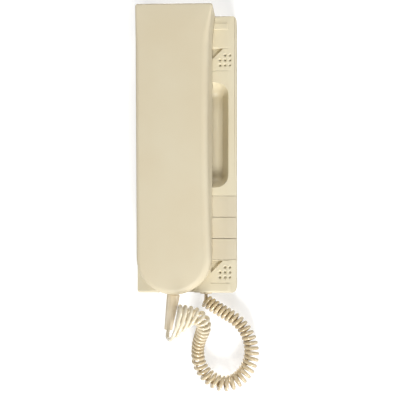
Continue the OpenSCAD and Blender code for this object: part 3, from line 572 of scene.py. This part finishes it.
def moulded_material(
        name, colour, aged, patch=22.0, grain=1400.0, low=0.44, high=0.56, relief=0.05, metallic=0.0,
        coat=0.0, wrap=None):
    """Surface in two tones, with its roughness between low and high and its grain as a bump.

    It lies on Object coordinates. A wrap's size, round and along, puts it on the piece's own UV instead.
    """
    if name in bpy.data.materials:
        return bpy.data.materials[name]
    material, tree, shader = new_material(name)
    link = tree.links.new
    surface = add_node(
        tree, "ShaderNodeGroup", {"node_tree": moulding_group()}, Colour=(*colour, 1), Aged_colour=(*aged, 1),
        Patch_scale=patch, Grain_scale=grain, Roughness_low=low, Roughness_high=high)
    shader.inputs["Metallic"].default_value = metallic
    shader.inputs["Coat Weight"].default_value = coat
    place = add_node(tree, "ShaderNodeTexCoord")
    if wrap:
        sized = add_node(tree, "ShaderNodeVectorMath", {"operation": "MULTIPLY"})
        sized.inputs[1].default_value = (*wrap, 1)
        link(place.outputs["UV"], sized.inputs[0])
        link(sized.outputs["Vector"], surface.inputs["Place"])
    else:
        link(place.outputs["Object"], surface.inputs["Place"])
    bump = add_node(tree, "ShaderNodeBump", Strength=relief, Distance=0.1 * MM)
    link(surface.outputs["Colour"], shader.inputs["Base Color"])
    link(surface.outputs["Roughness"], shader.inputs["Roughness"])
    link(surface.outputs["Height"], bump.inputs["Height"])
    link(bump.outputs["Normal"], shader.inputs["Normal"])
    return material


def colour_of(material):
    """Tree and shader of a moulded material, and the socket that its colour comes from."""
    tree = material.node_tree
    shader = tree.nodes["Principled BSDF"]
    return tree, shader, shader.inputs["Base Color"].links[0].from_socket


def handset_ivory():
    """Ivory plastic of the handset."""
    colours = bpy.context.scene.doorphone_finish
    return moulded_material("Handset ivory", colours.handset, colours.handset_aged)


def strip_ivory():
    """Ivory plastic of the base."""
    colours = bpy.context.scene.doorphone_finish
    return moulded_material("Base ivory", colours.strip, colours.strip_aged)


def shaded_key_ivory():
    """Ivory plastic of the keys: a darker copy of the base's ivory, as painted shade."""
    colours = bpy.context.scene.doorphone_finish
    return moulded_material("Key ivory", colours.keys, colours.keys_aged)


def cord_vinyl():
    """Glossy vinyl of the cord with soiled patches; its first turns are paler with a painted highlight."""
    name = "Cord vinyl"
    if name in bpy.data.materials:
        return bpy.data.materials[name]
    colours = bpy.context.scene.doorphone_finish
    sizes = bpy.context.scene.doorphone_cord
    material = moulded_material(
        name, colours.cord, colours.cord_soiled, patch=60.0, grain=2200.0, low=0.22, high=0.32, coat=0.6,
        wrap=(math.pi * sizes.strand, sizes.length))
    tree, shader, soiled = colour_of(material)
    place = add_node(tree, "ShaderNodeTexCoord")
    shares = add_node(tree, "ShaderNodeSeparateXYZ")
    # The first turns carry a painted highlight, which fades into the cord's own colour along the strand
    painted_light_end, own_colour_start = PAINTED_LIGHT_FADE
    along = add_node(tree, "ShaderNodeMapRange", From_Min=painted_light_end, From_Max=own_colour_start)
    blend = add_node(tree, "ShaderNodeMix", {"data_type": "RGBA"}, A=(*colours.cord_painted_light, 1))
    link = tree.links.new
    link(place.outputs["UV"], shares.inputs["Vector"])
    link(shares.outputs["Y"], along.inputs["Value"])
    link(along.outputs["Result"], blend.inputs["Factor"])
    link(soiled, blend.inputs["B"])
    link(blend.outputs["Result"], shader.inputs["Base Color"])
    return material


def boot_vinyl():
    """Soft vinyl of the boot and the gland."""
    colours = bpy.context.scene.doorphone_finish
    return moulded_material(
        "Boot vinyl", colours.boot, colours.cord, patch=90.0, grain=2200.0, low=0.3, high=0.45)


def grey_rubber():
    """Grey silicone and foam."""
    return moulded_material(
        "Grey rubber", linear(120, 122, 124), linear(96, 97, 99), patch=150.0, low=0.6, high=0.75, relief=0.2)


def black_plastic():
    """Black plastic of the inside parts."""
    return moulded_material(
        "Black plastic", linear(36, 36, 38), linear(26, 26, 27), patch=120.0, low=0.4, high=0.55)


def terminal_green():
    """Green plastic of the terminal block."""
    return moulded_material(
        "Terminal green", linear(44, 112, 66), linear(36, 94, 56), patch=160.0, low=0.36, high=0.5)


def board_laminate():
    """Green laminate with paler copper tracks below its varnish, in a pattern of bricks."""
    name = "Board laminate"
    if name in bpy.data.materials:
        return bpy.data.materials[name]
    material = moulded_material(
        name, linear(30, 82, 50), linear(24, 70, 44), patch=260.0, low=0.25, high=0.4, coat=0.3)
    tree, shader, laminate = colour_of(material)
    turn = add_node(tree, "ShaderNodeMapping", Rotation=(math.radians(90), 0, 0))
    tracks = add_node(
        tree, "ShaderNodeTexBrick", {"offset": 0.37, "squash": 1.6}, Scale=90.0, Mortar_Size=0.035,
        Mortar_Smooth=0.1, Mortar=(*linear(86, 140, 84), 1))
    place = add_node(tree, "ShaderNodeTexCoord")
    link = tree.links.new
    link(place.outputs["Object"], turn.inputs["Vector"])
    link(turn.outputs["Vector"], tracks.inputs["Vector"])
    link(laminate, tracks.inputs["Color1"])
    link(laminate, tracks.inputs["Color2"])
    link(tracks.outputs["Color"], shader.inputs["Base Color"])
    return material


def plated_steel():
    """Bright plated steel with fine marks."""
    return moulded_material(
        "Plated steel", linear(206, 206, 200), linear(178, 176, 168), patch=300.0, grain=3000.0, low=0.22,
        high=0.42, metallic=1.0)


# Cord

def coil_points(strand, coil, curls):
    """Middle line of the curled strand.

    With p a point of the route, t its heading, n = t x Y and b = t x n, it is
    p + r (cos(phase) n + sin(phase) b), where r is (width - strand) / 2 with the coil's width there.
    With s = -cos(phase) it also hangs down by the route's hang times (s + sqrt(s^2 + ease^2)) / 2, which is
    about s above zero and about 0 below. The phase falls evenly along the inside of the route's bends: each
    step counts for its length less the coil's radius times its bend.
    """
    last = len(COIL_ROUTE) - 1
    places = np.linspace(0, last, ROUTE_STEPS * last + 1)
    steps = np.diff(spline(COIL_ROUTE, places)[:, :3], axis=0)
    way = unit(steps)
    bend = np.append(np.linalg.norm(np.cross(way[:-1], way[1:]), axis=1), 0)
    inside = np.cumsum(np.linalg.norm(steps, axis=1) - (coil - strand) / 2 * bend)
    reached = np.concatenate([[0], inside])
    turn = PHASE_START - PHASE_END + 2 * math.pi * curls
    share = np.linspace(0, 1, round(turn / (2 * math.pi) * POINTS_PER_CURL) + 1)
    place = np.interp(share * reached[-1], reached, places)
    middle = spline(COIL_ROUTE, place)
    ahead = spline(COIL_ROUTE, np.minimum(place + 1 / ROUTE_STEPS, last))
    behind = spline(COIL_ROUTE, np.maximum(place - 1 / ROUTE_STEPS, 0))
    heading = unit(ahead[:, :3] - behind[:, :3])
    normal = unit(np.cross(heading, [0, 1, 0]))
    beside = np.cross(heading, normal)
    radius = (middle[:, 3:4] * coil - strand) / 2
    phase = (PHASE_START - turn * share)[:, None]
    lower = (-np.cos(phase) + np.hypot(np.cos(phase), HANG_EASE)) / 2
    hang = lower * middle[:, 4:] * HANG_WAY
    return middle[:, :3] + radius * (np.cos(phase) * normal + np.sin(phase) * beside) + hang


def cord_path(strand, coil, curls):
    """Whole middle line of the strand: out of the boot, over the hook, round the coil and into the gland."""
    helix = coil_points(strand, coil, curls)
    eighth = POINTS_PER_CURL // 8
    start = np.vstack([BOOT_TIP, BOOT_TIP + strand * BOOT_WAY, CORD_HOOK, helix[:2 * eighth + 1:eighth]])
    end = np.vstack([helix[-1 - 2 * eighth::eighth], GLAND_FACE - [0, 0, strand], GLAND_FACE])
    steps_in = np.linspace(0, len(start) - 2, JOIN_STEPS * (len(start) - 2) + 1)
    steps_out = np.linspace(1, len(end) - 1, JOIN_STEPS * (len(end) - 2) + 1)
    return np.vstack([spline(start, steps_in), helix[eighth + 1:-1 - eighth], spline(end, steps_out)])


class DOORPHONE_OT_cord(bpy.types.Operator):
    """Makes the curly cord, its boot on the handset and its gland in the base."""

    bl_idname = "doorphone.cord"
    bl_label = "Make cord"

    def execute(self, context):
        """Carries a round strand along the curls, and turns the boot's and gland's profiles."""
        sizes = context.scene.doorphone_cord
        boot = closed_piece("boot", revolved_grid(self.boot_profile(sizes.strand), BOOT_ROOT, BOOT_WAY))
        stand_for(boot, "cord_boot", "handset", boot_vinyl())
        gland = closed_piece(
            "gland", revolved_grid(self.gland_profile(sizes.strand), GLAND_FACE, np.array([0, 0, 1.0])))
        stand_for(gland, "cord_gland", "base", boot_vinyl())

        path = cord_path(sizes.strand, sizes.coil, sizes.curls)
        strand = closed_piece("cord", tube_grid(path, sizes.strand / 2, STRAND_SIDES))
        strand.data.materials.append(cord_vinyl())
        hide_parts("curly_cord")
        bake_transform(strand)
        return {"FINISHED"}

    @staticmethod
    def boot_profile(strand):
        """Radius and length of the boot from its collar inside the shells to its rounded tip."""
        grip = strand / 2 - STRAND_GRIP
        collar_end = -BOOT_INSIDE - BOOT_COLLAR
        hollow_end = BOOT_LENGTH - BOOT_HOLLOW
        return rounded_profile([
            [0, collar_end], [BOOT_COLLAR_RADIUS, collar_end], [BOOT_COLLAR_RADIUS, -BOOT_INSIDE],
            [BOOT_NECK_RADIUS, -BOOT_INSIDE], [BOOT_NECK_RADIUS, BOOT_SHOULDER], [BOOT_RADIUS, BOOT_SHOULDER],
            [BOOT_RADIUS, BOOT_SHOULDER + BOOT_STRAIGHT], [BOOT_TIP_RADIUS, BOOT_LENGTH], [grip, BOOT_LENGTH],
            [grip, hollow_end], [0, hollow_end],
        ], BOOT_ROUNDING)

    @staticmethod
    def gland_profile(strand):
        """Radius and length of the gland: lip below the base, neck in its wall and inner flange."""
        grip = strand / 2 - STRAND_GRIP
        mouth = strand / 2 + GLAND_FUNNEL
        wall_end = GLAND_LIP + COVER_WALL
        flange_end = wall_end + GLAND_LIP
        return rounded_profile([
            [0, GLAND_HOLLOW], [grip, GLAND_HOLLOW], [mouth, 0], [GLAND_LIP_RADIUS, 0],
            [GLAND_LIP_RADIUS, GLAND_LIP], [GLAND_RADIUS, GLAND_LIP], [GLAND_RADIUS, wall_end],
            [GLAND_FLANGE_RADIUS, wall_end], [GLAND_FLANGE_RADIUS, flange_end], [0, flange_end],
        ], GLAND_ROUNDING)


# Handset

def face_depth(z):
    """Depth of the handset's face at a height: it rises evenly from the foot to the top."""
    return FACE_LOW_DEPTH + (FACE_TOP_DEPTH - FACE_LOW_DEPTH) * (z + TOP_Z) / (2 * TOP_Z)


def flare_at(z):
    """How far the right side stands out at a height: the square of the way up the flared length."""
    return FLARE * np.clip((z - TOP_Z + FLARE_LENGTH) / FLARE_LENGTH, 0, None) ** 2


class Outline:
    """Outline of the handset seen from the front, as arrays over its stations.

    A station has a centre, a radius about it, the angle of its normal, the radius of the face's edge there
    and how far the face is drawn in there. Its point is the centre plus radius less inset along the normal.
    """

    def __init__(self, corner, face_edge):
        top_z = TOP_Z - corner
        side_up = np.linspace(ROUND_Z, TOP_Z - FLARE_LENGTH, RIGHT_STATIONS, endpoint=False)
        flared = np.linspace(TOP_Z - FLARE_LENGTH, top_z, FLARE_STATIONS)
        right_z = np.concatenate([side_up, flared])
        quarter = np.linspace(0, math.pi / 2, CORNER_STATIONS)
        left_z = np.linspace(top_z, ROUND_Z, LEFT_STATIONS)[1:-1]
        foot = np.linspace(math.pi, 2 * math.pi, FOOT_STATIONS, endpoint=False)
        corner_x = HAND_RIGHT + flare_at(top_z) - corner
        parts = [
            self.run(HAND_RIGHT + flare_at(right_z), right_z, 0, 0),
            self.run(corner_x, top_z, corner, quarter[1:]),
            self.run(HAND_LEFT + corner, top_z, corner, math.pi / 2 + quarter),
            self.run(HAND_LEFT, left_z, 0, math.pi),
            self.run(HAND_MID, ROUND_Z, HAND_RADIUS, foot),
        ]
        self.x, self.z, self.radius, self.angle = np.concatenate(parts, axis=1)
        rise = np.clip((TOP_Z - self.z) / FLARE_LENGTH, 0, 1)
        rightness = (1 + np.cos(self.angle)) / 2
        growth = rise * (LEFT_EDGE_SHARE + (1 - LEFT_EDGE_SHARE) * rightness)
        self.edge = HEAD_EDGE + (face_edge - HEAD_EDGE) * growth
        bow = 1 - ((self.z - WAIST_Z) / (WAIST_LENGTH / 2)) ** 2
        self.waist = WAIST * np.clip(bow, 0, None) * np.clip(np.cos(self.angle), 0, None)

    @staticmethod
    def run(x, z, radius, angle):
        """Stations of one stretch as four rows of equal length."""
        return np.stack(np.broadcast_arrays(*np.atleast_1d(x, z, radius, angle)))

    def drawn_in(self, inset):
        """X and Z of the outline drawn in by an inset."""
        reach = self.radius - inset
        return self.x + reach * np.cos(self.angle), self.z + reach * np.sin(self.angle)

    def ring(self, inset, drop):
        """Ring drawn in by an inset, below the face by a drop."""
        x, z = self.drawn_in(inset)
        return np.stack([x, drop - face_depth(z), z], axis=-1)

    def flat_ring(self, inset, depth):
        """Ring drawn in by an inset at one depth."""
        x, z = self.drawn_in(inset)
        return np.stack([x, np.full_like(x, -depth), z], axis=-1)


def handset_front_grid(face_edge, face_crown):
    """Rings of the front shell: inner face, down to the seam, up the side, round the edge and over the face.

    Round the edge, with the angle a from 0 to 90 degrees and r the edge's radius: inset r (1 - cos a) and
    drop r (1 - sin a). Over the face the ring shrinks towards the middle line by a share t, and the face
    swells by crown (1 - (1 - t)^2).
    """
    outer = Outline(HEAD_CORNER, face_edge)
    edge, waist = outer.edge, outer.waist
    inner = [
        outer.ring(SHELL + waist + edge, SHELL),
        outer.ring(SHELL + waist + edge / 2, SHELL),
        outer.ring(SHELL + waist + edge * INNER_CUT, SHELL + edge * INNER_CUT),
        outer.ring(SHELL + waist, SHELL + edge / 2),
        outer.flat_ring(SHELL, SEAM_DEPTH),
    ]
    seam = [outer.flat_ring(SEAM_LIP, SEAM_DEPTH), outer.flat_ring(0, SEAM_DEPTH + SEAM_LIP)]
    angles = np.linspace(0, math.pi / 2, EDGE_RINGS)
    rim = [outer.ring(waist + edge * (1 - math.cos(a)), edge * (1 - math.sin(a))) for a in angles]
    side = [seam[-1] + (rim[0] - seam[-1]) * share for share in SIDE_SHARES]
    x, z = outer.drawn_in(waist + edge)
    middle_z = np.clip(z, ROUND_Z, TOP_Z - HAND_RADIUS)
    face = []
    for t in FACE_SHARES:
        face_x = x + (HAND_MID - x) * t
        face_z = z + (middle_z - z) * t
        swell = face_crown * (1 - (1 - t) ** 2)
        face.append(np.stack([face_x, -face_depth(face_z) - swell, face_z], axis=-1))
    return np.stack(inner + seam + side + rim + face)


class DOORPHONE_OT_handset(bpy.types.Operator):
    """Makes the handset's two shells and dresses its screws, earpiece and microphone."""

    bl_idname = "doorphone.handset"
    bl_label = "Make handset"

    def execute(self, context):
        """Lofts the front shell and rounds the edges of the back shell."""
        sizes = context.scene.doorphone_shell
        ivory = handset_ivory()
        rings = handset_front_grid(sizes.face_edge, sizes.face_crown)
        front = closed_piece("handset_shell", rings, SHELL_SHARP_ANGLE)
        stand_for(front, "handset_front", "handset", ivory)
        back = dressed_copy("handset_back", "handset_rear_shell", sizes.moulded_edge)
        stand_for(back, "handset_back", "handset", ivory)
        dress_node("handset_screws", plated_steel())
        dress_node("ear_capsule", black_plastic())
        dress_node("ear_gasket", grey_rubber())
        dress_node("mouth_capsule", plated_steel())
        dress_node("mouth_grommet", grey_rubber())
        return {"FINISHED"}


# Base, keys and inside

class DOORPHONE_OT_base(bpy.types.Operator):
    """Makes the base's cover, wall plate and hook, and dresses its screws."""

    bl_idname = "doorphone.base"
    bl_label = "Make base"

    def execute(self, context):
        """Rounds the edges of the cover, the plate and the hook."""
        sizes = context.scene.doorphone_shell
        ivory = strip_ivory()
        cover = dressed_copy("front_cover", "cover", sizes.moulded_edge)
        round_scoop(cover, sizes.scoop_edge)
        stand_for(cover, "front_cover", "base", ivory)
        plate = dressed_copy("wall_plate", "plate", sizes.moulded_edge)
        stand_for(plate, "wall_plate", "base", ivory)
        hook = dressed_copy("hook_lever", "hook", sizes.moulded_edge)
        stand_for(hook, "hook_lever", "hook", ivory)
        dress_node("cover_screws", plated_steel())
        dress_node("hook_pin", plated_steel())
        dress_node("hook_spring", plated_steel())
        dress_node("hook_switch", black_plastic())
        return {"FINISHED"}


class DOORPHONE_OT_keys(bpy.types.Operator):
    """Makes the three keys and dresses the domes under them."""

    bl_idname = "doorphone.keys"
    bl_label = "Make keys"

    def execute(self, context):
        """Rounds the edges of each key, and gives each dome a merged copy in grey rubber."""
        sizes = context.scene.doorphone_shell
        for place in ("upper", "middle", "lower"):
            body = f"key_{place}"
            key = dressed_copy(body, f"{place}_key", sizes.key_edge, segments=4)
            stand_for(key, body, body, shaded_key_ivory())
            node = f"key_dome_{place}"
            dome = merged_copy(node, f"{place}_dome")
            dome.data.set_sharp_from_angle(angle=SHARP_ANGLE)
            dome.data.materials.clear()
            dome.data.materials.append(grey_rubber())
            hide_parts(node)
            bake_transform(dome)
        return {"FINISHED"}


class DOORPHONE_OT_inside(bpy.types.Operator):
    """Dresses the board and the parts on it."""

    bl_idname = "doorphone.inside"
    bl_label = "Dress inside"

    def execute(self, context):
        """Gives each inner part its finish."""
        finishes = {
            "circuit_board": board_laminate,
            "board_screws": plated_steel,
            "board_capacitors": black_plastic,
            "speech_chip": black_plastic,
            "cord_socket": black_plastic,
            "terminal_block": terminal_green,
            "terminal_screws": plated_steel,
            "call_sounder": black_plastic,
        }
        for node, finish in finishes.items():
            dress_node(node, finish())
        return {"FINISHED"}


# Stage

def turn_towards(item, place, target):
    """Puts a camera or lamp at a place and turns it towards a target."""
    item.location = place
    way = Vector(target) - Vector(place)
    item.rotation_euler = way.to_track_quat("-Z", "Y").to_euler()


def background_rays(tree):
    """Socket that is 1 for rays that show the background: straight, mirrored or through clear pieces."""
    rays = add_node(tree, "ShaderNodeLightPath")
    shown = rays.outputs["Is Camera Ray"]
    for kind in ("Is Glossy Ray", "Is Transmission Ray"):
        either = add_node(tree, "ShaderNodeMath", {"operation": "MAXIMUM"})
        tree.links.new(shown, either.inputs[0])
        tree.links.new(rays.outputs[kind], either.inputs[1])
        shown = either.outputs[0]
    return shown


class DOORPHONE_OT_camera(bpy.types.Operator):
    """Places the camera where the photograph was taken from."""

    bl_idname = "doorphone.camera"
    bl_label = "Place camera"

    def execute(self, context):
        """Turns a new camera from its place to its aim."""
        stage = context.scene.doorphone_stage
        data = bpy.data.cameras.new("Camera")
        data.sensor_width = SENSOR_WIDTH
        data.lens = stage.lens
        data.shift_x, data.shift_y = stage.camera_shift
        camera = add_object("Camera", data)
        turn_towards(camera, stage.camera_place, stage.camera_aim)
        context.scene.camera = camera
        return {"FINISHED"}


class DOORPHONE_OT_stage(bpy.types.Operator):
    """Makes the pale wall, the lamps and the light from all round."""

    bl_idname = "doorphone.stage"
    bl_label = "Make stage"

    def execute(self, context):
        """Hangs a one-sided wall behind the door-phone, and lights its front mostly from below."""
        stage = context.scene.doorphone_stage
        self.wall(stage)
        for name, (place, width) in LAMPS.items():
            self.lamp(name, place, width, getattr(stage, f"{name}_power"))
        self.sky(context.scene, stage.sky)
        context.scene.view_settings.view_transform = "Standard"
        return {"FINISHED"}

    @staticmethod
    def wall(stage):
        """Square wall just behind the plate, seen only from the front."""
        square = WALL_HALF * np.array([[-1, 0, -1], [1, 0, -1], [1, 0, 1], [-1, 0, 1]])
        mesh = bpy.data.meshes.new("wall")
        mesh.from_pydata(square + [0, WALL_GAP, 0], [], [[0, 1, 2, 3]])
        wall = add_object("wall", mesh)
        material, tree, shader = new_material("Pale wall")
        shader.inputs["Base Color"].default_value = (*stage.wall, 1)
        shader.inputs["Roughness"].default_value = 1.0
        shader.inputs["Specular IOR Level"].default_value = 0.0
        shader.inputs["Emission Color"].default_value = (1, 1, 1, 1)
        shader.inputs["Emission Strength"].default_value = stage.wall_glow
        side = add_node(tree, "ShaderNodeNewGeometry")
        shown = add_node(tree, "ShaderNodeMath", {"operation": "SUBTRACT", "use_clamp": True})
        clear = add_node(tree, "ShaderNodeBsdfTransparent")
        mix = add_node(tree, "ShaderNodeMixShader")
        link = tree.links.new
        link(background_rays(tree), shown.inputs[0])
        link(side.outputs["Backfacing"], shown.inputs[1])
        link(shown.outputs[0], mix.inputs[0])
        link(clear.outputs[0], mix.inputs[1])
        link(shader.outputs[0], mix.inputs[2])
        link(mix.outputs[0], tree.nodes["Material Output"].inputs["Surface"])
        mesh.materials.append(material)

    @staticmethod
    def lamp(name, place, width, power):
        """Square lamp turned towards the door-phone's middle."""
        data = bpy.data.lights.new(f"{name} lamp", "AREA")
        data.size = width
        data.energy = power
        turn_towards(add_object(data.name, data), place, LAMP_AIM)

    @staticmethod
    def sky(scene, strength):
        """Even light from all round, and white where it shows as background."""
        world = bpy.data.worlds.new("Sky")
        scene.world = world
        world.use_nodes = True
        tree = world.node_tree
        light = tree.nodes["Background"]
        light.inputs["Color"].default_value = (1, 1, 1, 1)
        light.inputs["Strength"].default_value = strength
        white = add_node(tree, "ShaderNodeBackground", Color=(1, 1, 1, 1), Strength=1.0)
        mix = add_node(tree, "ShaderNodeMixShader")
        link = tree.links.new
        link(background_rays(tree), mix.inputs[0])
        link(light.outputs[0], mix.inputs[1])
        link(white.outputs[0], mix.inputs[2])
        link(mix.outputs[0], tree.nodes["World Output"].inputs["Surface"])


# Add-on

STEPS = (
    DOORPHONE_OT_camera,
    DOORPHONE_OT_cord,
    DOORPHONE_OT_handset,
    DOORPHONE_OT_base,
    DOORPHONE_OT_keys,
    DOORPHONE_OT_inside,
    DOORPHONE_OT_stage,
)


class DOORPHONE_PT_panel(bpy.types.Panel):
    """Lists the settings and the steps of the door-phone."""

    bl_idname = "DOORPHONE_PT_panel"
    bl_label = "Door-phone"
    bl_space_type = "VIEW_3D"
    bl_region_type = "UI"
    bl_category = "Door-phone"

    def draw(self, context):
        """Draws every setting and one button for each step."""
        for name, settings in SETTINGS.items():
            box = self.layout.box()
            for key in settings.__annotations__:
                box.prop(getattr(context.scene, name), key)
        for step in STEPS:
            self.layout.operator(step.bl_idname)


CLASSES = (*SETTINGS.values(), *STEPS, DOORPHONE_PT_panel)


def register():
    """Registers the classes and hangs the settings on the scene."""
    for item in CLASSES:
        bpy.utils.register_class(item)
    for name, settings in SETTINGS.items():
        setattr(bpy.types.Scene, name, PointerProperty(type=settings))


def unregister():
    """Takes the settings and classes away again."""
    for name in SETTINGS:
        delattr(bpy.types.Scene, name)
    for item in reversed(CLASSES):
        bpy.utils.unregister_class(item)


def main():
    """Runs every step in order."""
    register()
    for step in STEPS:
        group, call = step.bl_idname.split(".")
        getattr(getattr(bpy.ops, group), call)()


if __name__ == "__main__":
    main()
